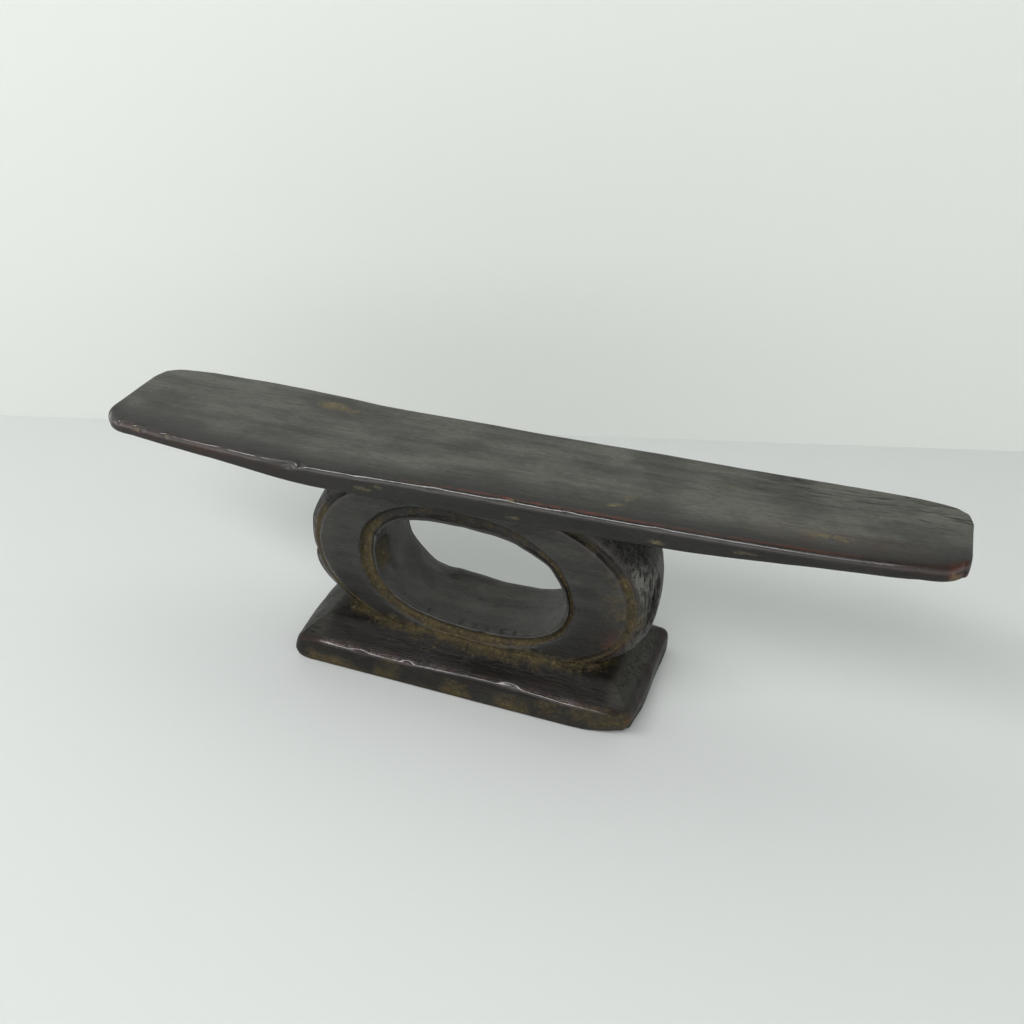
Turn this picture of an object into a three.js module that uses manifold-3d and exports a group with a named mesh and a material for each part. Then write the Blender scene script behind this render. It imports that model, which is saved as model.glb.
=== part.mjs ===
// A carved wooden headrest: a long, thin headboard carried on an oval loop that stands on a
// hipped foot block. Millimetres, +Z up. The origin is on the ground under the middle of the
// headboard, +X runs along the headboard and -Y is the front.

import * as THREE from 'three';
import { mergeVertices } from 'three/addons/utils/BufferGeometryUtils.js';
import Module from 'manifold-3d';

// ---- Driving dimensions ----

const JOINT_GAP = 0.3; // between one carved member and the next
const SUPPORT_X = -14.8; // the foot and the loop stand a little left of the headboard's middle

const BOARD = {
  length: 489.5,
  halfWidth: 38, // at mid-length
  lopsided: -3.4, // added to the half width at the right end, taken off at the left
  cornerPower: 6, // superellipse power of the plan outline
  endCut: 0.985, // where the rounded outline meets the blunt end, as a share of half length
  endBow: 0.008, // how far the ends bulge, as a share of half length
  topHeight: 144.4, // top surface at mid-length
  tilt: 0.017, // rise to the right, per unit of length
  dish: 2.7, // how much higher the ends stand than the middle
  flatShare: 0.22, // share of the half length that is flat on top
  midThickness: 12.9,
  endThickness: 6.9,
  taperAt: 0.62, // share of half length where the thickness is half way down to the end's
  taperPower: 6,
  arris: 2.2, // chamfer along every long edge
};

const LOOP = {
  halfDepth: 24.6, // front face to middle
  shoulderDepth: 11, // half depth of the widest band of the outside
  rebateDepth: 2,
  openingChamfer: 1.5,
  // Each outline is an oval: half length, half height, centre height, power and lean
  opening: { a: 59, b: 35.3, height: 74.9, power: 2.7, lean: 0.042 },
  rebate: { a: 64.7, b: 43.3, height: 75.4, power: 2.6, lean: 0.042 },
  face: { a: 95, b: 55.3, height: 76.4, power: 2.2, lean: 0.045 },
  body: { a: 107.5, b: 61, height: 79, power: 3.2, lean: 0.01 },
};

const FOOT = {
  halfLength: 109,
  halfWidth: 43.9,
  sideHeight: 16.6, // straight sides, up to the arris
  topHeight: 28,
  topHalfLength: 93,
  topHalfWidth: 27.5,
  cornerPower: 9,
};

// ---- Shared helpers ----

const wasm = await Module();
wasm.setup();

const NEARLY_ZERO = 1e-5; // a root would blow up a rounding error near an axis

function signedPower(value, power) {
  return Math.abs(value) < NEARLY_ZERO ? 0 : Math.sign(value) * Math.abs(value) ** power;
}

// The point of a superellipse with half axes a and b that faces the given angle
function superellipse(a, b, power, angle) {
  return new THREE.Vector2(
    a * signedPower(Math.sin(angle), 2 / power),
    b * signedPower(Math.cos(angle), 2 / power),
  );
}

// Moves every vertex of a geometry to where place() says
function reshape(geometry, place) {
  const position = geometry.getAttribute('position');
  const point = new THREE.Vector3();
  for (let i = 0; i < position.count; i += 1) {
    point.fromBufferAttribute(position, i);
    place(point);
    position.setXYZ(i, point.x, point.y, point.z);
  }
  return geometry;
}

// A closed three.js geometry as a solid that can be joined and cut
function solidOf(geometry) {
  const bare = geometry.clone();
  bare.deleteAttribute('normal');
  bare.deleteAttribute('uv');
  const merged = mergeVertices(bare, 1e-3);
  return new wasm.Manifold(new wasm.Mesh({
    numProp: 3,
    vertProperties: new Float32Array(merged.getAttribute('position').array),
    triVerts: new Uint32Array(merged.getIndex().array),
  }));
}

// A solid back as a three.js geometry
function geometryOf(solid) {
  const mesh = solid.getMesh();
  const geometry = new THREE.BufferGeometry();
  geometry.setAttribute('position', new THREE.BufferAttribute(mesh.vertProperties, 3));
  geometry.setIndex(new THREE.BufferAttribute(mesh.triVerts, 1));
  geometry.computeVertexNormals();
  return geometry;
}

// A large block whose lower face is at the given height in the middle and rises to the right
function blockAbove(height, rise) {
  const size = 800;
  const block = new THREE.BoxGeometry(size, size, size);
  block.translate(0, 0, size / 2);
  return reshape(block, (point) => { point.z += height + rise * point.x; });
}

function blockBelow(height) {
  const size = 800;
  const block = new THREE.BoxGeometry(size, size, size);
  block.translate(0, 0, height - size / 2);
  return block;
}

// ---- Headboard: a plank with rounded ends, thinner towards them ----

function boardThickness(share) {
  const fall = 1 / (1 + (Math.abs(share) / BOARD.taperAt) ** BOARD.taperPower);
  return BOARD.endThickness + (BOARD.midThickness - BOARD.endThickness) * fall;
}

function boardTop(share) {
  const beyondFlat = Math.max(0, Math.abs(share) - BOARD.flatShare) / (1 - BOARD.flatShare);
  const alongX = share * BOARD.length / 2;
  return BOARD.topHeight + BOARD.tilt * alongX + BOARD.dish * beyondFlat ** 2;
}

function headboardGeometry() {
  const rows = { along: 44, across: 6, through: 3 };
  const plank = new THREE.BoxGeometry(2, 2, 2, rows.along, rows.across, rows.through);
  return reshape(plank, (point) => {
    const share = Math.sin(point.x * Math.PI / 2);
    const across = point.y;
    const bulge = BOARD.endBow * Math.abs(share) ** 12 * (1 - across ** 2);
    const round = (1 - Math.abs(share * BOARD.endCut) ** BOARD.cornerPower) ** (1 / BOARD.cornerPower);
    const onSkin = Math.abs(point.z) > 0.99;
    const inset = onSkin && Math.abs(across) > 0.99 ? BOARD.arris : 0;
    const endInset = onSkin && Math.abs(point.x) > 0.99 ? BOARD.arris : 0;
    const halfWidth = (BOARD.halfWidth + BOARD.lopsided * share) * round - inset;
    const thickness = boardThickness(share);
    const drop = onSkin ? (1 - Math.sign(point.z)) / 2 * thickness
      : (point.z > 0 ? BOARD.arris : thickness - BOARD.arris);
    const reach = BOARD.length / 2 * (1 - BOARD.endBow) - endInset;
    point.x = reach * share + BOARD.length / 2 * bulge * Math.sign(share);
    point.y = halfWidth * across;
    point.z = boardTop(share) - drop;
  });
}

// ---- Loop support: an oval ring standing on edge, its outside swelling in mid-depth ----

const OVALS = [LOOP.opening, LOOP.rebate, LOOP.face, LOOP.body];

// The point of one of the ovals above in the X-Z plane, grown outwards by a margin
function ovalPoint(oval, angle, margin = 0) {
  const edge = superellipse(oval.a + margin, oval.b + margin, oval.power, angle);
  return new THREE.Vector2(SUPPORT_X + edge.x, oval.height + edge.y - oval.lean * edge.x);
}

function loopGeometry() {
  const { halfDepth, shoulderDepth, rebateDepth, openingChamfer } = LOOP;
  const sunk = halfDepth - rebateDepth;
  // Radius stands for the oval a row follows: 1 opening, 2 rebate, 3 face, 4 body
  const front = [
    [1, -sunk + openingChamfer], [1.25, -sunk], [1.98, -sunk], [2, -halfDepth], [3, -halfDepth],
    [3.7, -(halfDepth + shoulderDepth) / 2], [4, -shoulderDepth],
  ];
  const back = front.map(([radius, depth]) => [radius, -depth]).reverse();
  const profile = [...front, ...back, front[0]].map(([radius, depth]) => new THREE.Vector2(radius, depth));
  const ring = new THREE.LatheGeometry(profile, 96);
  return reshape(ring, (point) => {
    const radius = Math.hypot(point.x, point.z);
    const angle = Math.atan2(point.x, point.z);
    const inner = Math.min(Math.floor(radius + 1e-6), OVALS.length - 1);
    const blend = radius - inner;
    const at = ovalPoint(OVALS[inner - 1], angle).lerp(ovalPoint(OVALS[inner], angle), blend);
    point.set(at.x, point.y, at.y);
  });
}

function loopSolid() {
  const underside = BOARD.topHeight - BOARD.midThickness - JOINT_GAP;
  return solidOf(loopGeometry())
    .subtract(solidOf(blockAbove(underside, BOARD.tilt)))
    .subtract(solidOf(blockBelow(FOOT.topHeight + JOINT_GAP)));
}

// ---- Foot: a rectangular block with straight sides and a hipped top ----

function footGeometry() {
  // Radius 1 follows the outline on the ground, radius 2 the flat top
  const profile = [[0, 0], [1, 0], [1, FOOT.sideHeight], [2, FOOT.topHeight], [0, FOOT.topHeight]]
    .map(([radius, height]) => new THREE.Vector2(radius, height));
  const block = new THREE.LatheGeometry(profile, 64);
  return reshape(block, (point) => {
    const radius = Math.hypot(point.x, point.z);
    const angle = Math.atan2(point.x, -point.z);
    const outline = radius > 1.5
      ? superellipse(FOOT.topHalfLength, FOOT.topHalfWidth, FOOT.cornerPower, angle)
      : superellipse(FOOT.halfLength, FOOT.halfWidth, FOOT.cornerPower, angle);
    if (radius < 0.5) {
      outline.set(0, 0);
    }
    point.set(SUPPORT_X + outline.x, outline.y, point.y);
  });
}

// ---- The headrest ----

const wood = (color, roughness) => new THREE.MeshStandardMaterial({ color, roughness, metalness: 0 });

function member(name, solid, material) {
  const mesh = new THREE.Mesh(geometryOf(solid), material);
  mesh.name = name;
  return mesh;
}

const group = new THREE.Group();
group.add(
  member('headboard', solidOf(headboardGeometry()), wood(0x2b2622, 0.42)),
  member('loop_support', loopSolid(), wood(0x221d1a, 0.5)),
  member('foot', solidOf(footGeometry()), wood(0x1f1a17, 0.5)),
);

export default group;
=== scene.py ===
import math

import bmesh
import bpy
import numpy as np
from mathutils import Matrix, Vector
from mathutils.bvhtree import BVHTree


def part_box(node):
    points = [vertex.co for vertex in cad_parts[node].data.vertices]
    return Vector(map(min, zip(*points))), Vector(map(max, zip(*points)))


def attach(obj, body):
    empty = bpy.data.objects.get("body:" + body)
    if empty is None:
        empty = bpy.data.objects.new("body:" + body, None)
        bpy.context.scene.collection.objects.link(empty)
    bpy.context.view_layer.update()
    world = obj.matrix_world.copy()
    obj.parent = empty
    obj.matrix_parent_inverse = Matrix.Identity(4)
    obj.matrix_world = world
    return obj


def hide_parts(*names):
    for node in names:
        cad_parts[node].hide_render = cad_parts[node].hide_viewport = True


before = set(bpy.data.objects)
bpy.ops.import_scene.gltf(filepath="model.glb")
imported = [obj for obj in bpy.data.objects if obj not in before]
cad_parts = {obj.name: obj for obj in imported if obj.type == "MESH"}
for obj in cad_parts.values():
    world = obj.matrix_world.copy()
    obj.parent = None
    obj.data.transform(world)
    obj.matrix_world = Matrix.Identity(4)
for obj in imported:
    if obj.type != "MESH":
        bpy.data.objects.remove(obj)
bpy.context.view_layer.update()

MM = 0.001


# ---------------------------------------------------------------------------------------------
# The foot: the rectangular block that the headrest stands on, left square at the sides and
# pared down to a hipped top. One block of dense dark hardwood with everything above it, cut
# with an adze and a knife, its front arris rubbed bright by handling.
# ---------------------------------------------------------------------------------------------

foot_low, foot_high = (Vector(corner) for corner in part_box("foot"))
foot_middle_x = (foot_low.x + foot_high.x) / 2
foot_half_length = (foot_high.x - foot_low.x) / 2 / MM - 0.6
foot_half_width = (foot_high.y - foot_low.y) / 2 / MM
foot_corners = (3.0, 5.0, 7.0, 6.0)  # radius at front right, back right, back left, front left (mm)
foot_points = {"long": 50, "short": 20, "corner": 6}


def work_on(piece):
    """Makes one piece the only one that is selected."""
    bpy.ops.object.select_all(action="DESELECT")
    piece.select_set(True)
    bpy.context.view_layer.objects.active = piece


def draw_next_row(piece, current, row, number):
    """Extrudes the selected row once more and lays the new row on its places; returns its points."""
    bpy.ops.mesh.extrude_edges_move()
    mesh = bmesh.from_edit_mesh(piece.data)
    layer = mesh.verts.layers.float["row"]
    mesh.verts.ensure_lookup_table()
    following = []
    for index in current:
        old = mesh.verts[index]
        new = next(edge.other_vert(old) for edge in old.link_edges if edge.other_vert(old).select)
        following.append(new.index)
    for index, point in zip(following, row):
        mesh.verts[index].co = point
        mesh.verts[index][layer] = number
    return following


def carve_out(name, rows, joined):
    """A solid drawn out row by row from a circle; joined ends meet, others close in the middle."""
    bpy.ops.object.select_all(action="DESELECT")
    bpy.ops.mesh.primitive_circle_add(vertices=len(rows[0]), radius=0.1)
    piece = bpy.context.object
    piece.name = name
    piece.data.name = name
    bpy.ops.object.mode_set(mode="EDIT")
    bpy.ops.mesh.select_all(action="SELECT")
    mesh = bmesh.from_edit_mesh(piece.data)
    layer = mesh.verts.layers.float.new("row")
    mesh.verts.ensure_lookup_table()
    first = list(range(len(rows[0])))
    for index, point in zip(first, rows[0]):
        mesh.verts[index].co = point
        mesh.verts[index][layer] = 0
    current = first
    for number, row in enumerate(rows[1:], start=1):
        current = draw_next_row(piece, current, row, number)
    if joined:
        draw_next_row(piece, current, rows[0], len(rows))
        bpy.ops.mesh.select_all(action="SELECT")
        bpy.ops.mesh.remove_doubles(threshold=0.00001)
    else:
        bpy.ops.mesh.extrude_edges_move()
        bpy.ops.mesh.merge(type="CENTER")
        mesh = bmesh.from_edit_mesh(piece.data)
        mesh.verts.ensure_lookup_table()
        bpy.ops.mesh.select_all(action="DESELECT")
        for vertex in mesh.verts:
            vertex.select = vertex.index < len(first)
        mesh.select_flush_mode()
        bmesh.update_edit_mesh(piece.data)
        bpy.ops.mesh.extrude_edges_move()
        bpy.ops.mesh.merge(type="CENTER")
    bpy.ops.mesh.select_all(action="SELECT")
    bpy.ops.mesh.normals_make_consistent(inside=False)
    bpy.ops.object.mode_set(mode="OBJECT")
    return piece


def pare_smooth(piece, levels=2):
    """Pares the drawn-out facets down to smooth, flowing faces."""
    work_on(piece)
    smoother = piece.modifiers.new("pared_smooth", "SUBSURF")
    smoother.levels = levels
    smoother.render_levels = levels
    bpy.ops.object.modifier_apply(modifier=smoother.name)
    bpy.ops.object.shade_smooth()


def hand_work(piece, size, depth, where=None):
    """Leaves an edge tool's low, uneven waves of one size and depth (mm), all over or where masked."""
    work_on(piece)
    texture = bpy.data.textures.new("%s_tool_waves" % piece.name, "CLOUDS")
    texture.noise_scale = size * MM
    texture.noise_depth = 1
    waves = piece.modifiers.new("tool_waves", "DISPLACE")
    waves.texture = texture
    waves.texture_coords = "LOCAL"
    waves.strength = depth * 2 * MM
    waves.mid_level = 0.5
    if where is not None:
        group = piece.vertex_groups.new(name="worked")
        for index in np.nonzero(where > 0.02)[0]:
            group.add([int(index)], float(where[index]), "REPLACE")
        waves.vertex_group = group.name
    bpy.ops.object.modifier_apply(modifier=waves.name)
    piece.vertex_groups.clear()


def points_of(piece):
    """The points of a piece, one row each, in mm."""
    places = np.empty(len(piece.data.vertices) * 3)
    piece.data.vertices.foreach_get("co", places)
    return places.reshape(-1, 3) / MM


def lay_points(piece, places):
    """Puts the points of a piece at new places, given in mm."""
    piece.data.vertices.foreach_set("co", (places * MM).ravel())
    piece.data.update()


def rows_of(piece):
    """Which row each point was drawn out in; pared faces give points part-way between rows."""
    values = np.empty(len(piece.data.vertices))
    piece.data.attributes["row"].data.foreach_get("value", values)
    return values


def paint(piece, name, values):
    """Keeps one mask, from 0 to 1, on the points of a piece for its finish to read."""
    mask = piece.data.attributes.new(name, "FLOAT", "POINT")
    mask.data.foreach_set("value", np.clip(values, 0, 1).astype(np.float32))


def rise(low, high, values):
    """0 up to low, 1 from high on, and a smooth step between."""
    share = np.clip((values - low) / (high - low), 0, 1)
    return share * share * (3 - 2 * share)


def hump(middle, width, values):
    """1 at the middle, falling away like a bell over the width."""
    return np.exp(-((values - middle) / width) ** 2)


def near(places, centre, reach):
    """1 at the centre of an ellipsoid with the given half sizes, falling to 0 at its skin (mm)."""
    offset = (places - np.array(centre)) / np.array(reach)
    return np.clip(1 - (offset ** 2).sum(axis=1), 0, 1)


def gouge(places, centre, reach, depth, towards):
    """Presses or cuts a hollow: the points in an ellipsoid move by up to depth (mm)."""
    push = near(places, centre, reach) ** 1.3 * depth
    places += np.outer(push, np.array(towards) / np.linalg.norm(towards))


def block_outline(inset):
    """Points round the foot at one inset, the same number on each side, from the front left corner."""
    half_length, half_width = foot_half_length - inset, foot_half_width - inset
    right_front, right_back, left_back, left_front = (max(radius - inset, 0.3) for radius in foot_corners)
    sides = [
        ((-half_length + left_front, -half_width), (half_length - right_front, -half_width), "long"),
        ((half_length, -half_width + right_front), (half_length, half_width - right_back), "short"),
        ((half_length - right_back, half_width), (-half_length + left_back, half_width), "long"),
        ((-half_length, half_width - left_back), (-half_length, -half_width + left_front), "short"),
    ]
    radii = (right_front, right_back, left_back, left_front)
    points = []
    for number, (start, end, kind) in enumerate(sides):
        start, end = np.array(start), np.array(end)
        count = foot_points[kind]
        points += [start + (end - start) * step / (count - 1) for step in range(count)]
        heading = math.radians(90 * number)
        forward = np.array((math.cos(heading), math.sin(heading)))
        inward = np.array((-forward[1], forward[0]))
        middle = end + inward * radii[number]
        for step in range(1, foot_points["corner"] + 1):
            turn = math.radians(90) * step / (foot_points["corner"] + 1)
            points.append(middle + radii[number] * (forward * math.sin(turn) - inward * math.cos(turn)))
    return points


def foot_arris_lift(x, y):
    """The arris isn't level: it swells right of the middle in front and drops away at both ends."""
    swell = 2.7 * math.exp(-((x - 22) / 35) ** 2) * (1 if y < 0 else 0.2)
    left_drop = 2.0 * (max(0.0, -x - 82) / 26) ** 2
    right_drop = (4.4 if y < 0 else 2.0) * (max(0.0, x - 84) / 24) ** 2
    return swell - left_drop - right_drop


def foot_row(inset, height, follow):
    """One level round the foot; follow is how much of the arris's rise and fall it takes."""
    row = []
    for x, y in block_outline(inset):
        lift = foot_arris_lift(x, y) * follow
        row.append(Vector((foot_middle_x / MM + x, y, height + lift)) * MM)
    return row


# Up from the underside, round the lower edge, up the sides, over the arris and up the slopes to the top
foot_rows = [
    foot_row(30, 0.0, 0), foot_row(6, 0.0, 0), foot_row(1.6, 0.05, 0), foot_row(0.7, 0.5, 0),
    foot_row(0.1, 1.8, 0), foot_row(-0.3, 5.0, 0.1), foot_row(-0.4, 9.5, 0.4), foot_row(-0.1, 14.2, 0.8),
    foot_row(0.25, 15.9, 1), foot_row(1.0, 16.8, 1), foot_row(2.2, 17.5, 0.97), foot_row(5.0, 19.3, 0.8),
    foot_row(9.0, 22.0, 0.5), foot_row(13.0, 24.7, 0.25), foot_row(15.4, 26.3, 0.1),
    foot_row(17.2, 27.0, 0), foot_row(21.0, 27.3, 0), foot_row(34.0, 27.4, 0),
]
foot = carve_out("carved_foot", foot_rows, joined=False)
pare_smooth(foot)
foot_row_numbers = rows_of(foot)
foot_above_ground = rise(0.3, 3.0, points_of(foot)[:, 2])
hand_work(foot, 42, 0.85, foot_above_ground)
hand_work(foot, 12, 0.28, foot_above_ground)

places = points_of(foot)
gouge(places, (94, -46, 0), (30, 13, 9), 3.4, (-0.1, 0.3, 1))  # lower corner worn round
gouge(places, (96, -46, 3), (16, 12, 12), 3.0, (-0.8, 0.6, 0))
gouge(places, (-124, -46, 0), (12, 10, 7), 2.0, (0.4, 0.3, 0.8))
gouge(places, (95, -43.9, 12), (3.2, 3.2, 3.4), 1.1, (-0.6, 0.8, 0))  # chip at the right corner
gouge(places, (18, -44, 19), (9, 4, 3), 0.9, (0, 0.7, -0.7))  # bruises along the arris
gouge(places, (-47, -44, 17), (5, 3, 2.2), 0.6, (0, 0.7, -0.7))
gouge(places, (-78, -44, 16), (7, 3, 2.5), 0.5, (0, 0.7, -0.7))
gouge(places, (55, -44, 18), (9, 4, 3), 0.35, (0, 0.7, -0.7))
gouge(places, (98, -42, 3), (24, 26, 13), 3.4, (-1, 0.2, 0))  # the right end leans in
gouge(places, (97, -20, 6), (14, 60, 16), 1.6, (-1, 0, 0))
gouge(places, (-122, 6, 20), (18, 46, 12), 1.5, (-1, 0, 0.3))  # the left end bellies out
gouge(places, (-125, -44, 2), (15, 34, 12), 2.0, (-1, -0.5, 0))  # the left corner was left fuller
# The long sides were left a little off straight
places[:, 1] -= 1.4 * rise(-30, -42, places[:, 1]) * (1 - rise(50, 90, places[:, 0]))
places[:, 1] += 1.0 * rise(26, 40, places[:, 1])
places[:, 2] = np.maximum(places[:, 2], 0)
lay_points(foot, places)


def add_node(tree, kind, feeds=None, **settings):
    """One shader node; feeds gives each socket, by name or number, a value or another node's output."""
    node = tree.nodes.new(kind)
    for name, value in settings.items():
        setattr(node, name, value)
    for socket, value in (feeds or {}).items():
        if isinstance(value, bpy.types.NodeSocket):
            tree.links.new(value, node.inputs[socket])
        else:
            node.inputs[socket].default_value = value
    return node


def blend_colours(tree, share, first, second, way="MIX"):
    """The first colour with a share of the second laid over it."""
    feeds = {0: share, 6: first, 7: second}
    return add_node(tree, "ShaderNodeMix", feeds, data_type="RGBA", blend_type=way).outputs[2]


def stretch(tree, value, low, high, to_low=0.0, to_high=1.0):
    """Takes the span from low to high onto the span from to_low to to_high, and stops at its ends."""
    feeds = {0: value, 1: low, 2: high, 3: to_low, 4: to_high}
    return add_node(tree, "ShaderNodeMapRange", feeds, clamp=True).outputs[0]


def reckon(tree, way, first, second=0.0):
    """One sum, product or other step of arithmetic between two values."""
    return add_node(tree, "ShaderNodeMath", {0: first, 1: second}, operation=way).outputs[0]


def wood_noise(tree, place, scale, detail=3.0, rough=0.55):
    """Soft random mottling from 0 to 1; scale is how many patches there are to a metre."""
    feeds = {"Vector": place, "Scale": scale, "Detail": detail, "Roughness": rough}
    return add_node(tree, "ShaderNodeTexNoise", feeds).outputs[0]


soot_dark = (0.0080, 0.0074, 0.0064)
split_black = (0.004, 0.003, 0.0025)
masks = ("Film", "Worn", "Dust", "Splits", "Pitted", "Polish")


def make_patina():
    """The skin of old handled wood: soot-dark oil film, grain along the plank, red wood where it is
    rubbed through, dust packed in the hollows, drying splits along the grain and pitted end grain."""
    tree = bpy.data.node_groups.new("handled_patina", "ShaderNodeTree")
    for name in ("Dark", "Film Colour", "Brown", "Rubbed", "Dust Colour", "Pale Dust"):
        tree.interface.new_socket(name, in_out="INPUT", socket_type="NodeSocketColor")
    for name in masks:
        tree.interface.new_socket(name, in_out="INPUT", socket_type="NodeSocketFloat")
    tree.interface.new_socket("Colour", in_out="OUTPUT", socket_type="NodeSocketColor")
    tree.interface.new_socket("Roughness", in_out="OUTPUT", socket_type="NodeSocketFloat")
    tree.interface.new_socket("Height", in_out="OUTPUT", socket_type="NodeSocketFloat")
    tree.interface.new_socket("Coat", in_out="OUTPUT", socket_type="NodeSocketFloat")
    given = add_node(tree, "NodeGroupInput").outputs
    place = add_node(tree, "ShaderNodeTexCoord").outputs["Object"]
    lengthwise = add_node(tree, "ShaderNodeMapping", {"Vector": place, "Scale": (1, 8, 8)}).outputs[0]
    drawn_out = add_node(tree, "ShaderNodeMapping", {"Vector": place, "Scale": (1, 20, 20)}).outputs[0]
    upright = add_node(tree, "ShaderNodeMapping", {"Vector": place, "Scale": (9, 9, 1.6)}).outputs[0]

    clouds = wood_noise(tree, place, 20, 4, 0.6)
    smears = wood_noise(tree, lengthwise, 16, 4, 0.6)
    streaks = wood_noise(tree, lengthwise, 60, 5, 0.6)
    fibres = wood_noise(tree, lengthwise, 260, 3, 0.6)
    scuffs = wood_noise(tree, place, 130, 5, 0.65)
    crumbs = wood_noise(tree, place, 420, 4, 0.6)

    uneven = stretch(tree, reckon(tree, "ADD", clouds, smears), 0.83, 1.17, 0.32, 1.04)
    film = reckon(tree, "MULTIPLY", given["Film"], uneven)
    colour = blend_colours(tree, film, given["Dark"], given["Film Colour"])
    brown = reckon(tree, "MULTIPLY", stretch(tree, streaks, 0.5, 0.75), 0.35)
    colour = blend_colours(tree, brown, colour, given["Brown"])
    fine = stretch(tree, fibres, 0.3, 0.7, 0.62, 1.3)
    fine_colour = add_node(tree, "ShaderNodeCombineColor", {0: fine, 1: fine, 2: fine}).outputs[0]
    colour = blend_colours(tree, 1.0, colour, fine_colour, "MULTIPLY")

    worn = reckon(tree, "MULTIPLY", given["Worn"], stretch(tree, scuffs, 0.36, 0.6))
    colour = blend_colours(tree, worn, colour, given["Rubbed"])
    patchy = reckon(tree, "MULTIPLY", reckon(tree, "SUBTRACT", scuffs, 0.5), 2.2)
    crumbly = reckon(tree, "MULTIPLY", reckon(tree, "SUBTRACT", crumbs, 0.5), 1.1)
    dust_edge = reckon(tree, "ADD", given["Dust"], reckon(tree, "ADD", patchy, crumbly))
    held = stretch(tree, given["Dust"], 0.0, 0.15)
    dust = reckon(tree, "MULTIPLY", stretch(tree, dust_edge, 0.25, 1.15), held)
    specks = reckon(tree, "MULTIPLY", stretch(tree, crumbs, 0.70, 0.75), 0.5)
    dust = reckon(tree, "MAXIMUM", dust, specks)
    pale = reckon(tree, "MULTIPLY", stretch(tree, crumbs, 0.50, 0.72), stretch(tree, streaks, 0.42, 0.62))
    dust_colour = blend_colours(tree, pale, given["Dust Colour"], given["Pale Dust"])
    colour = blend_colours(tree, reckon(tree, "MULTIPLY", dust, 0.9), colour, dust_colour)

    run = reckon(tree, "ABSOLUTE", reckon(tree, "SUBTRACT", wood_noise(tree, drawn_out, 17, 3, 0.5), 0.5))
    line = stretch(tree, run, 0.012, 0.045, 1.0, 0.0)
    broken = stretch(tree, wood_noise(tree, lengthwise, 34, 2), 0.47, 0.56)
    splits = reckon(tree, "MULTIPLY", reckon(tree, "MULTIPLY", line, broken), given["Splits"])
    pores = stretch(tree, wood_noise(tree, upright, 62, 4, 0.6), 0.5, 0.6)
    pits = reckon(tree, "MULTIPLY", pores, given["Pitted"])
    cuts = reckon(tree, "MAXIMUM", splits, reckon(tree, "MULTIPLY", pits, 0.95))
    colour = blend_colours(tree, reckon(tree, "MULTIPLY", cuts, 0.9), colour, (*split_black, 1))

    rough = stretch(tree, smears, 0.36, 0.64, 0.25, 0.42)
    rough = reckon(tree, "ADD", rough, reckon(tree, "MULTIPLY", given["Film"], 0.08))
    rough = reckon(tree, "ADD", rough, reckon(tree, "MULTIPLY", stretch(tree, streaks, 0.35, 0.7), 0.08))
    rough = reckon(tree, "SUBTRACT", rough, reckon(tree, "MULTIPLY", given["Polish"], 0.22))
    rough = reckon(tree, "ADD", rough, reckon(tree, "MULTIPLY", dust, 0.4))
    rough = reckon(tree, "ADD", rough, reckon(tree, "MULTIPLY", given["Pitted"], 0.1))
    bare = reckon(tree, "SUBTRACT", 1.0, reckon(tree, "MAXIMUM", dust, cuts))
    polish = reckon(tree, "MULTIPLY", given["Polish"], stretch(tree, scuffs, 0.3, 0.5, 0.5, 1.0))
    coat = reckon(tree, "MULTIPLY", polish, bare)

    height = reckon(tree, "MULTIPLY", streaks, 0.42)
    height = reckon(tree, "ADD", height, reckon(tree, "MULTIPLY", fibres, 0.20))
    height = reckon(tree, "ADD", height, reckon(tree, "MULTIPLY", scuffs, 0.26))
    crust = reckon(tree, "MULTIPLY", reckon(tree, "MULTIPLY", dust, crumbs), 0.9)
    height = reckon(tree, "ADD", height, crust)
    height = reckon(tree, "SUBTRACT", height, reckon(tree, "MULTIPLY", cuts, 1.2))
    height = reckon(tree, "MULTIPLY", height, stretch(tree, given["Polish"], 0.0, 1.0, 1.0, 0.35))
    add_node(tree, "NodeGroupOutput", {0: colour, 1: rough, 2: height, 3: coat})
    return tree


handled_patina = make_patina()


def patina_wood(name, relief, film_colour, brown, rubbed, sheen, dust, pale_dust):
    """The shared patina in this piece's own colours; relief is its bump in mm, sheen its dull shine."""
    material = bpy.data.materials.new(name)
    material.use_nodes = True
    tree = material.node_tree
    skin = add_node(tree, "ShaderNodeGroup", node_tree=handled_patina)
    colours = {"Dark": soot_dark, "Film Colour": film_colour, "Brown": brown, "Rubbed": rubbed,
               "Dust Colour": dust, "Pale Dust": pale_dust}
    for socket, colour in colours.items():
        skin.inputs[socket].default_value = (*colour, 1)
    for socket in masks:
        mask = add_node(tree, "ShaderNodeAttribute", attribute_name=socket.lower())
        tree.links.new(mask.outputs["Fac"], skin.inputs[socket])
    shader = tree.nodes["Principled BSDF"]
    relief_node = add_node(tree, "ShaderNodeBump", {"Strength": 1.0, "Distance": relief * MM,
                                                    "Height": skin.outputs["Height"]})
    tree.links.new(skin.outputs["Colour"], shader.inputs["Base Color"])
    tree.links.new(skin.outputs["Roughness"], shader.inputs["Roughness"])
    tree.links.new(relief_node.outputs["Normal"], shader.inputs["Normal"])
    tree.links.new(skin.outputs["Coat"], shader.inputs["Coat Weight"])
    shader.inputs["Specular IOR Level"].default_value = sheen
    shader.inputs["Coat Roughness"].default_value = 0.12
    return material


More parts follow.
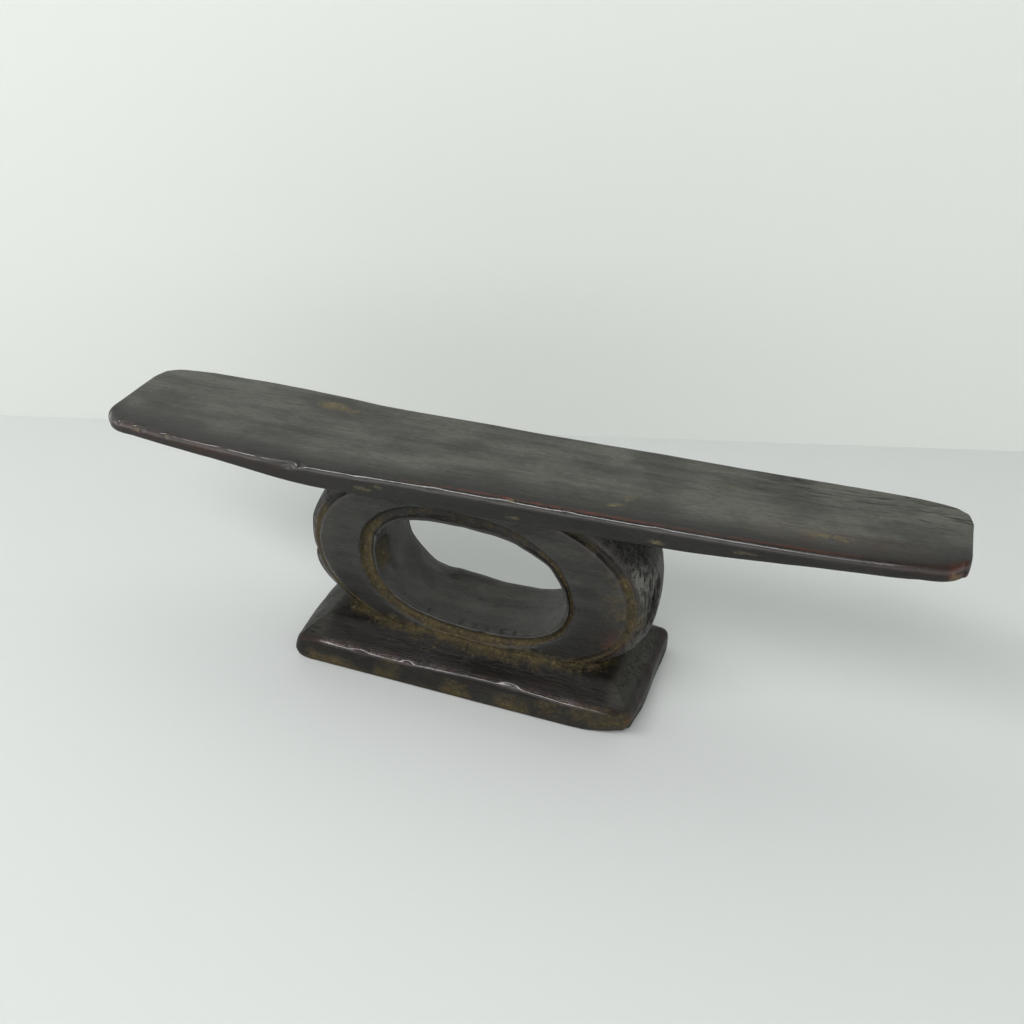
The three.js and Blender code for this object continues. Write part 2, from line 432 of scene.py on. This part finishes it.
packed_dust, loose_dust = (0.062, 0.047, 0.020), (0.150, 0.120, 0.062)
foot.data.materials.append(patina_wood(
    "dark_foot_wood", relief=0.9, film_colour=(0.034, 0.033, 0.027), brown=(0.030, 0.014, 0.008),
    rubbed=(0.090, 0.024, 0.010), sheen=0.15, dust=packed_dust, pale_dust=loose_dust))
places = points_of(foot)
foot_x = places[:, 0] - foot_middle_x / MM
foot_arris = hump(9.3, 1.1, foot_row_numbers)
foot_ends = rise(86, 95, foot_x) + rise(84, 93, -foot_x)
foot_slope = rise(17, 19, places[:, 2])
foot_worn = 0.4 * foot_arris * (0.4 + 0.6 * hump(-60, 34, foot_x) + 0.3 * hump(60, 20, foot_x))
foot_worn += 1.3 * near(places, (94, -42, 9), (7, 7, 9))
paint(foot, "worn", foot_worn)
foot_film = 0.02 + 0.9 * foot_ends * foot_slope + 0.38 * (1 - rise(14, 17, places[:, 2]))
paint(foot, "film", foot_film)
paint(foot, "polish", foot_arris * (places[:, 1] < 0) * (1 - foot_ends))
foot_checks = rise(90, 96, foot_x) * rise(-34, -22, places[:, 1]) + 0.5 * rise(90, 96, -foot_x)
paint(foot, "splits", foot_slope * foot_checks)
paint(foot, "pitted", np.zeros(len(places)))

# ---------------------------------------------------------------------------------------------
# The loop: an oval ring standing on edge, chiselled through the same block of dark hardwood. Its
# flat face is left proud between two cut channels, one round the opening behind a thin lip and one
# round the outside, and the outside was rounded off with a knife until it swells like a barrel.
# ---------------------------------------------------------------------------------------------

loop_middle_x = foot_middle_x / MM
loop_steps = 106

# Each oval: middle x from the foot's, middle height, half length, half height, power, lean (mm)
opening_oval = (1.2, 74.7, 59.2, 36.5, 2.45, 0.025)
channel_oval = (-1.5, 74.9, 66.4, 45.2, 2.3, 0.021)
face_oval = (0.5, 76.6, 94.9, 55.9, 2.19, 0.027)
barrel_oval = (0.6, 79.0, 107.0, 61.0, 3.1, 0.01)


def signed_power(value, power):
    return math.copysign(abs(value) ** power, value) if abs(value) > 1e-9 else 0.0


def oval_point(oval, angle, grown):
    middle_x, middle_z, half_x, half_z, power, lean = oval
    x = (half_x + grown) * signed_power(math.sin(angle), 2 / power)
    z = (half_z + grown) * signed_power(math.cos(angle), 2 / power)
    return np.array((middle_x + x, middle_z + z - lean * x))


def between(first, second, blend, grown, depth, lift=0.0):
    """One row round the ring, blended between two ovals; depth is its y, lift raises its floor (mm)."""
    row = []
    for step in range(loop_steps):
        angle = 2 * math.pi * step / loop_steps
        x, z = oval_point(first, angle, grown) * (1 - blend) + oval_point(second, angle, grown) * blend
        z += lift * max(0.0, -math.cos(angle)) ** 1.5
        z = min(max(z, 20.0), 134.5)
        row.append(Vector((loop_middle_x + x, depth, z)) * MM)
    return row


def along(oval, grown, depth, lift=0.0):
    return between(oval, oval, 0, grown, depth, lift)


front_rows = [
    along(opening_oval, 1.0, -8, 0.2), along(opening_oval, 1.3, -17), along(opening_oval, 1.3, -21.0),
    along(opening_oval, 0.6, -22.6), along(opening_oval, 0.0, -23.4), along(opening_oval, 0.8, -24.0),
    along(opening_oval, 2.0, -23.8), between(opening_oval, channel_oval, 0.36, 0, -22.0),
    between(opening_oval, channel_oval, 0.6, 0, -20.8), along(channel_oval, -1.2, -20.9),
    along(channel_oval, -0.3, -22.6), along(channel_oval, 0.2, -24.1), along(channel_oval, 1.2, -24.7),
    between(channel_oval, face_oval, 0.3, 0, -24.7), between(channel_oval, face_oval, 0.65, 0, -24.7),
    along(face_oval, -3.2, -24.7), along(face_oval, -0.8, -24.5), along(face_oval, 0.1, -23.8),
    along(face_oval, 0.5, -22.4), along(face_oval, 1.2, -21.2), along(face_oval, 2.7, -21.0),
    along(face_oval, 4.0, -21.3), along(face_oval, 5.2, -20.6),
    between(face_oval, barrel_oval, 0.55, 1.2, -17.2), along(barrel_oval, -1.4, -12),
    along(barrel_oval, -0.3, -6),
]
back_rows = [[Vector((point.x, -point.y, point.z)) for point in row] for row in reversed(front_rows[3:])]
floor_rows = [
    along(opening_oval, 0.4, 21.8, 3.0), along(opening_oval, 0.2, 18.0, 3.9),
    along(opening_oval, 0.5, 9.0, 2.6), along(opening_oval, 0.8, 0.0, 1.0),
]
loop_rows = front_rows + [along(barrel_oval, 0, 0)] + back_rows + floor_rows
loop = carve_out("carved_loop", loop_rows, joined=True)
pare_smooth(loop)

# Rows counted from the opening outwards, the same on the front and the back
row_number = rows_of(loop)
middle_row = len(front_rows)
loop_station = np.where(row_number > middle_row, 2 * middle_row - row_number, row_number)
loop_station = np.where(row_number > len(loop_rows) - len(floor_rows) - 0.5, 1.0, loop_station)
places = points_of(loop)
opening_middle = (loop_middle_x + opening_oval[0], opening_oval[1])
off_middle = np.abs(places[:, [0, 2]] - opening_middle) / opening_oval[2:4]
within_opening = (off_middle ** opening_oval[4]).sum(axis=1) < 1.15
loop_station = np.where(within_opening & (np.abs(places[:, 1]) < 17), 1.0, loop_station)
loop_channel = rise(6.4, 7.4, loop_station) * (1 - rise(10.4, 11.4, loop_station))
loop_ledge = rise(16.8, 17.8, loop_station) * (1 - rise(20.6, 21.8, loop_station))
loop_rims = hump(5, 0.9, loop_station) + hump(11.8, 0.7, loop_station) + hump(16.3, 0.7, loop_station)
loop_rims += hump(21.2, 0.8, loop_station)
hand_work(loop, 38, 0.8)
hand_work(loop, 10, 0.25)
hand_work(loop, 6, 0.55, np.maximum(loop_channel, loop_ledge))
hand_work(loop, 9, 0.5, np.clip(loop_rims, 0, 1))

places = points_of(loop)
gouge(places, (-120, -4, 67), (10, 34, 4.6), 6.4, (1, 0.1, 0))  # notch knocked out of the left side
gouge(places, (-73, -12, 71), (9, 8, 13), 4.2, (-1, 0.1, 0.1))  # rough knot in the left inner wall
gouge(places, (-75, -17, 78), (6, 4, 6), 2.4, (-1, 0.3, 0.2))
gouge(places, (-70, -9, 60), (6, 5, 5), 1.8, (-1, 0.2, -0.4))
gouge(places, (-70, -23, 90), (9, 3.4, 3.2), 2.4, (-0.6, 1, 0))  # chip broken from the lip
gouge(places, (-63, -23, 96), (6, 3.0, 3.0), 1.8, (-0.4, 1, 0.3))
gouge(places, (97, 0, 88), (20, 60, 45), 1.3, (1, 0, 0))  # the right end of the barrel bellies out
gouge(places, (92, -9, 75), (11, 3.6, 14), 10.0, (-1, 0.1, 0))  # split down the barrel's right end
gouge(places, (94, -6, 85), (9, 2.4, 9), 5.0, (-1, 0, 0))
gouge(places, (90, -12, 64), (9, 2.8, 9), 5.5, (-1, 0, 0))
# Tool nicks behind the lip
for nick_x, nick_size in ((-47, 3.2), (-42, 2.4), (-21, 2.2), (-12, 3.0), (-4, 2.0), (5, 2.6), (13, 2.0)):
    gouge(places, (nick_x, -20.5, 38.2), (nick_size / 2, 3.2, 5), 1.2, (0, 0.2, -1))
gouge(places, (-6, -24, 36.5), (3, 3, 2.6), 1.2, (0, 1, -0.4))
# The left shoulder slopes more than the right, and the barrel is fuller below it
gouge(places, (-124, 0, 132), (24, 60, 46), 11.5, (1, 0, -0.2))
gouge(places, (-118, 0, 50), (22, 60, 20), 3.0, (-1, 0, -0.3))
gouge(places, (-120, 0, 77), (20, 60, 13), 1.0, (-1, 0, 0))
gouge(places, (0, -24, 112), (66, 14, 17), 2.0, (0, 0, -1))  # the opening's top edge hangs lower
gouge(places, (34, -24, 100), (26, 14, 20), 2.6, (-0.6, 0, -1))
gouge(places, (46, -24, 86), (18, 12, 16), 2.2, (-1, 0, -0.5))
gouge(places, (-10, 20, 40), (42, 9, 9), 1.6, (0, 0, 1))  # crest left along the back of the floor
gouge(places, (-34, 20, 42), (24, 9, 9), 1.8, (0, 0, 1))
gouge(places, (-52, 20, 48), (15, 9, 11), 1.8, (-0.5, 0, -1))
lay_points(loop, places)

# The foot rises in a small cove where the loop grows out of it
surface = BVHTree.FromObject(loop, bpy.context.evaluated_depsgraph_get())
places = points_of(foot)
too_far = 99.0  # gap kept for points that can't be near the other piece (mm)
foot_gap = np.full(len(places), too_far)
for index in np.nonzero(places[:, 2] > 14)[0]:
    hit = surface.find_nearest(Vector(places[index]) * MM)
    foot_gap[index] = hit[3] / MM
cove_size = 2.6
cove = np.exp(-foot_gap / cove_size) * rise(14, 20, places[:, 2])
places[:, 2] += cove_size * cove
lay_points(foot, places)

foot_dust = 1.15 * np.exp(-(foot_gap / 5.5) ** 1.5)
for patch_x, patch_z, reach, amount in (
        (-92, 4, 13, 0.8), (-60, 10, 12, 0.65), (-15, 8, 13, 0.75), (21, 8, 14, 0.75), (44, 12, 12, 0.55),
        (70, 12, 16, 0.75), (-108, 5, 10, 0.7), (92, 5, 9, 0.5), (88, 12, 7, 0.6)):
    foot_dust += amount * near(places, (patch_x, -44, patch_z), (reach, 9, 8)) ** 0.5
foot_dust += 0.34 * (1 - rise(2, 9, places[:, 2]))
paint(foot, "dust", foot_dust)

loop.data.materials.append(patina_wood(
    "dark_loop_wood", relief=0.95, film_colour=(0.105, 0.104, 0.092), brown=(0.024, 0.015, 0.010),
    rubbed=(0.075, 0.026, 0.012), sheen=0.25, dust=packed_dust, pale_dust=loose_dust))
places = points_of(loop)
foot_surface = BVHTree.FromObject(foot, bpy.context.evaluated_depsgraph_get())
loop_gap = np.full(len(places), too_far)
for index in np.nonzero(places[:, 2] < 46)[0]:
    loop_gap[index] = foot_surface.find_nearest(Vector(places[index]) * MM)[3] / MM
loop_x = places[:, 0] - loop_middle_x
inner_wall = 1 - rise(3.0, 5.0, loop_station)
barrel = rise(21.5, 22.6, loop_station)
loop_dust_and_shade = 0.95 * loop_channel + 0.85 * loop_ledge
# Less of the pale dust high up in the channel and ledge, so they darken towards the top: painted shade
# under the board
loop_dust_and_shade *= 1 - 0.6 * rise(92, 112, places[:, 2])
loop_dust_and_shade += 0.8 * np.exp(-(loop_gap / 4.5) ** 1.5)
loop_dust_and_shade += 1.0 * near(places, (-73, -13, 70), (9, 10, 13)) ** 0.5
loop_dust_and_shade += 0.8 * near(places, (-10, 0, 42), (5, 4, 5)) * inner_wall
loop_dust_and_shade += 0.45 * near(places, (74, -24, 84), (14, 5, 20)) + 0.5 * near(places, (-5, -24, 34), (8, 4, 5))
loop_dust_and_shade += 0.7 * near(places, (86, -22, 66), (10, 7, 22)) ** 0.7 * (1 - inner_wall)
paint(loop, "dust", loop_dust_and_shade)
loop_worn = 0.3 * hump(21.2, 0.8, loop_station) + 0.15 * hump(16.3, 0.8, loop_station)
loop_worn += 0.9 * near(places, (-116, -12, 62), (8, 10, 9))
loop_worn += 0.4 * near(places, (76, -22, 50), (18, 8, 16))
paint(loop, "worn", loop_worn)
loop_face = rise(11, 13, loop_station) * (1 - rise(15, 17, loop_station))
loop_film_and_shade = 0.06 + 0.30 * inner_wall + 0.22 * loop_face * rise(45, 75, places[:, 2])
# Grey film on the right end of the barrel; it stops short of the top, which is left dark as painted shade
# under the board
loop_film_and_shade += 1.3 * barrel * rise(62, 92, loop_x) * (1 - rise(94, 110, places[:, 2]))
loop_film_and_shade += 0.3 * hump(5, 0.6, loop_station) + 0.1 * hump(16.3, 0.6, loop_station)
loop_film_and_shade -= 3.0 * near(places, (88, -9, 75), (14, 5, 17))  # painted shade inside the split: no film there, so it stays dark
paint(loop, "film", loop_film_and_shade)
paint(loop, "splits", 0.25 * barrel)
paint(loop, "polish", 0.35 * np.clip(loop_rims, 0, 1) + 0.15 * inner_wall)
paint(loop, "pitted", barrel * rise(62, 92, np.abs(loop_x)))

# ---------------------------------------------------------------------------------------------
# The headboard: the long plank the head lies on, of the same dark hardwood, tapering to thin,
# round-cornered ends and a little dished along its length. Adzed flat, scraped smooth, and
# polished by years of skin and oil.
# ---------------------------------------------------------------------------------------------

board_low, board_high = (Vector(corner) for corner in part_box("headboard"))
board_half_length = (board_high.x - board_low.x) / 2 / MM
end_swell = 3.4


def board_front(share):
    """How far the front edge stands forward; share runs from -1 at the left end to 1 at the right."""
    bump = 2.6 * math.exp(-((share + 0.42) / 0.2) ** 2)
    power = 6
    return (39.1 - 3.4 * share + bump) * (1 - abs(share * 0.985) ** power) ** (1 / power)


def board_back(share):
    """How far the back edge stands back."""
    bump = 3.0 * math.exp(-((share + 0.70) / 0.26) ** 2)
    power = 10 if share < 0 else 7
    return (35.4 - 2.6 * share + bump) * (1 - abs(share * 0.985) ** power) ** (1 / power)


def board_top(share):
    """The height of the top, which climbs to the right and turns up a little at both ends."""
    beyond = max(0.0, abs(share) - 0.1) / 0.9
    return 144.4 + 0.017 * share * board_half_length + 2.7 * beyond ** 2


def board_thickness(share):
    """Thick over the loop and thin at the ends."""
    return 7.7 + 5.9 / (1 + (abs(share) / 0.62) ** 6)


def rounded_arc(middle_y, middle_z, radius, start):
    """A quarter turn of a rounded edge, from the start angle (degrees)."""
    angles = [math.radians(start + 90 * step / 4) for step in range(5)]
    return [(middle_y + radius * math.cos(angle), middle_z + radius * math.sin(angle)) for angle in angles]


def board_section(share, x, shrink=1.0):
    """The plank's cross-section: flat top, rounded arrises, upright sides, flat underside."""
    front, back = -board_front(share) * shrink, board_back(share) * shrink
    middle = board_top(share) - board_thickness(share) / 2
    half = board_thickness(share) / 2 * (0.55 + 0.45 * shrink)
    # the front arris gets broader and rounder towards the right end
    front_round = min(3.4 + 1.4 * max(0.0, share - 0.45) / 0.55, half * 0.95)
    back_round = min(1.8, half)
    low_round = min(1.8, half)
    outline = []
    for step in range(1, 14):
        across = (front + front_round - back + back_round) * step / 14
        outline.append((back - back_round + across, half))
    outline += rounded_arc(front + front_round, half - front_round, front_round, 90)
    outline.append((front, (low_round - front_round) / 2))
    outline += rounded_arc(front + low_round, -half + low_round, low_round, 180)
    for step in range(1, 14):
        outline.append((front + low_round + (back - front - 2 * low_round) * step / 14, -half))
    outline += rounded_arc(back - low_round, -half + low_round, low_round, 270)
    outline.append((back, (low_round - back_round) / 2))
    outline += rounded_arc(back - back_round, half - back_round, back_round, 0)
    return [Vector((x, y, middle + z)) * MM for y, z in outline]


def end_rows(side):
    """The blunt, slightly bulging end, from its arris inwards."""
    rows = []
    for shrink, out in ((0.985, 1.3), (0.95, 2.3), (0.85, 3.0), (0.6, 3.3)):
        rows.append(board_section(side, side * (board_half_length - end_swell + out), shrink))
    return rows


board_rows = list(reversed(end_rows(-1)))
for step in range(76):
    share = math.sin((step / 75 - 0.5) * math.pi)
    board_rows.append(board_section(share, share * (board_half_length - end_swell)))
board_rows += end_rows(1)
board = carve_out("carved_headboard", board_rows, joined=False)
pare_smooth(board)
hand_work(board, 70, 0.55)
hand_work(board, 20, 0.18)

places = points_of(board)
edge_share = np.linspace(-1, 1, 200)
edge_x = edge_share * (board_half_length - end_swell)
front_edge = np.interp(places[:, 0], edge_x, [-board_front(share) for share in edge_share])
back_edge = np.interp(places[:, 0], edge_x, [board_back(share) for share in edge_share])
top_level = np.interp(places[:, 0], edge_x, [board_top(share) for share in edge_share])
from_front = places[:, 1] - front_edge
from_back = back_edge - places[:, 1]
below_top = top_level - places[:, 2]

gouge(places, (-113, -43.5, 141), (4.5, 6, 3.4), 2.2, (0, 1, -0.4))  # nick in the front arris
gouge(places, (-107, -43.5, 143), (3.2, 6, 2.4), 1.6, (0, 0.7, -0.7))
gouge(places, (-120, -43, 140), (7, 3, 3), 0.9, (0, 1, -0.2))
corner_chips = ((-229, -32), (-217, -36), (-213, -36.5), (-196, -39))  # x and y, by the left corner
for chip_x, chip_y in corner_chips:
    gouge(places, (chip_x, chip_y, 141), (2.6, 4, 2.2), 0.9, (0, 1, -0.8))
for bruise_x in (-160, -137, -70, -28, 12, 47, 96, 141, 176):
    level = 144.4 + 0.017 * bruise_x
    gouge(places, (bruise_x, -40, level - 1), (7, 4, 3), 0.5, (0, 0.8, -0.6))
gouge(places, (-246, 33, 141), (13, 13, 14), 2.6, (1, 0, 0))  # the ends were cut by eye, not square
gouge(places, (-238, -37, 137), (17, 17, 12), 2.0, (-0.6, -0.8, -0.2))
gouge(places, (245, 27, 148), (9, 14, 14), 2.2, (-1, 0, 0))
gouge(places, (238, -33, 145), (16, 13, 12), 1.8, (0.5, -0.8, -0.3))
lay_points(board, places)

# The film colour is raised so the film also serves as a painted reflection of the pale wall on the top
board.data.materials.append(patina_wood(
    "polished_board_wood", relief=0.38, film_colour=(0.085, 0.086, 0.072), brown=(0.020, 0.014, 0.010),
    rubbed=(0.085, 0.017, 0.007), sheen=0.28, dust=(0.13, 0.105, 0.055), pale_dust=(0.25, 0.21, 0.12)))
on_top = rise(3.0, 1.2, below_top)
front_arris = np.exp(-(np.maximum(from_front, 0) / 3.2) ** 2) * (1 - rise(3.5, 6.0, below_top))
red_line = hump(3.0, 0.8, from_front) * on_top * rise(-70, 20, places[:, 0])
red_line *= 1 - 0.6 * rise(40, 120, places[:, 0]) - 0.4 * rise(170, 215, places[:, 0])
left_brown = front_arris * (1 - rise(-190, -90, places[:, 0])) * 0.2
right_brown = front_arris * rise(170, 235, places[:, 0]) * 0.12
side_face = rise(2.0, 4.0, below_top)
worn = 1.25 * red_line + left_brown + right_brown + 0.03 * front_arris
worn += 0.08 * side_face * hump(-160, 60, places[:, 0]) * (from_front < 6)
worn += 0.6 * near(places, (240, -24, 146), (9, 9, 7))
worn += 0.18 * near(places, (188, -20, 148), (60, 12, 6))
paint(board, "worn", worn)
arris_line = np.exp(-(np.maximum(from_front, 0) / 2.2) ** 2) * (1 - rise(2.4, 4.0, below_top))
paint(board, "polish", arris_line * (1 - 0.6 * rise(110, 190, places[:, 0])))

dust = 1.25 * near(places, (-120, 24, 142.5), (11, 6, 4)) ** 0.6
dust += 0.7 * near(places, (-106, 22, 142.6), (13, 3.5, 4))
dust += 0.6 * near(places, (240, -26, 144), (7, 8, 6))
for chip_x, chip_y in corner_chips:
    dust += 0.6 * near(places, (chip_x, chip_y, 140.5), (3.4, 4, 1.6))
# Scratches, then smears: middle x and y, half length and half width
for x, y, length, width in (
        (68, -25, 5, 1.3), (72, -23, 5, 1.2), (74, -17, 1.5, 5), (77, -14, 6, 1.2), (17, -37, 4, 1.4),
        (111, 11, 6, 1.4), (124, 12, 4, 1.2), (150, 13, 4, 1.1), (46, 15, 3, 1.2)):
    dust += 0.8 * near(places, (x, y, 145.5), (length, width, 4)) ** 0.5
for x, y, length, width in ((165, -18, 16, 4), (181, -20, 14, 4)):
    dust += 0.55 * near(places, (x, y, 147.3), (length, width, 4)) ** 0.6
for speck_x, speck_z in ((140, 141), (-68, 135), (-59, 138), (205, 142), (96, 137), (20, 135)):
    dust += 0.55 * near(places, (speck_x, -38, speck_z), (8, 8, 1.5)) ** 0.5
paint(board, "dust", dust)

# Grey film over the top, partly real film and partly a painted reflection that makes the top lighter than
# the sides
film = 0.92 * rise(3, 24, from_front) * on_top + 0.08
film -= 0.25 * near(places, (-195, 14, 141), (42, 16, 6))
paint(board, "film", film)
splits = on_top * rise(90, 170, places[:, 0]) * (1 - rise(16, 30, from_back))
splits += 0.6 * on_top * near(places, (172, -20, 147), (38, 9, 6))
splits += 0.3 * on_top * near(places, (-195, 14, 141), (45, 14, 6))
paint(board, "splits", splits)
paint(board, "pitted", np.zeros(len(places)))

for piece, node, finish in ((foot, "foot", "dark_wood"), (loop, "loop_support", "dark_wood"),
                            (board, "headboard", "polished_wood")):
    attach(piece, "root")
    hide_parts(node)

# ---------------------------------------------------------------------------------------------
# The studio: a pale floor that meets a pale wall, soft light from above, and the camera.
# ---------------------------------------------------------------------------------------------


def pale_surface(name, colour):
    """A matte sheet that is only there from its own side, so nothing behind it gets in the way."""
    material = bpy.data.materials.new(name)
    material.use_nodes = True
    tree = material.node_tree
    shader = tree.nodes["Principled BSDF"]
    behind = add_node(tree, "ShaderNodeNewGeometry").outputs["Backfacing"]
    tree.links.new(reckon(tree, "SUBTRACT", 1.0, behind), shader.inputs["Alpha"])
    shader.inputs["Base Color"].default_value = (*colour, 1)
    shader.inputs["Roughness"].default_value = 0.7
    return material


wall_turn = math.radians(16.4)
wall_start = Vector((-0.098, 0.262, 0))
studio_size = 6

bpy.ops.object.select_all(action="DESELECT")
bpy.ops.mesh.primitive_plane_add(size=studio_size)
floor = bpy.context.object
floor.name = "studio_floor"
floor.data.materials.append(pale_surface("pale_floor", (0.655, 0.677, 0.668)))

bpy.ops.object.select_all(action="DESELECT")
bpy.ops.mesh.primitive_plane_add(size=studio_size)
wall = bpy.context.object
wall.name = "studio_wall"
wall_place = Matrix.Translation(wall_start + Vector((0, 0, 2.99))) @ Matrix.Rotation(wall_turn, 4, "Z")
wall.data.transform(wall_place @ Matrix.Rotation(math.radians(90), 4, "X"))
wall.data.materials.append(pale_surface("pale_wall", (0.65, 0.67, 0.638)))

studio_air = bpy.data.worlds.new("studio_air")
studio_air.use_nodes = True
air_tree = studio_air.node_tree
direction = add_node(air_tree, "ShaderNodeTexCoord").outputs["Generated"]
height_share = add_node(air_tree, "ShaderNodeSeparateXYZ", {0: direction}).outputs[2]
# Bright all round at the height of the walls, dim overhead
brightness = stretch(air_tree, height_share, 0.22, 0.8, 1.6, 0.25)
air_tree.links.new(brightness, air_tree.nodes["Background"].inputs["Strength"])
air_tree.nodes["Background"].inputs["Color"].default_value = (1.0, 1.0, 1.0, 1)
bpy.context.scene.world = studio_air
bpy.context.scene.view_settings.view_transform = "Standard"

# A long, low window in front, whose light runs along the polished arrises
strip = bpy.data.lights.new("window_strip", "AREA")
strip.shape = "RECTANGLE"
strip.size = 1.9
strip.size_y = 0.3
strip.energy = 18
window = bpy.data.objects.new("window_strip", strip)
window.location = (-0.45, -1.05, 1.5)
window.rotation_euler = (Vector((-0.1, 0, 0.1)) - window.location).to_track_quat("-Z", "Y").to_euler()
bpy.context.collection.objects.link(window)

camera_data = bpy.data.cameras.new("camera")
camera_data.sensor_width = 36
camera_data.lens = 39.4
camera = bpy.data.objects.new("camera", camera_data)
bpy.context.collection.objects.link(camera)
yaw, pitch, roll = math.radians(-20.105), math.radians(-34.033), math.radians(0.161)
ahead = Vector((math.sin(yaw) * math.cos(pitch), math.cos(yaw) * math.cos(pitch), math.sin(pitch)))
right = ahead.cross(Vector((0, 0, 1))).normalized()
upward = right.cross(ahead)
side = right * math.cos(roll) + upward * math.sin(roll)
top = upward * math.cos(roll) - right * math.sin(roll)
camera_place = (0.1863, -0.4980, 0.4686)
camera.matrix_world = Matrix.Translation(camera_place) @ Matrix((side, top, -ahead)).transposed().to_4x4()
bpy.context.scene.camera = camera
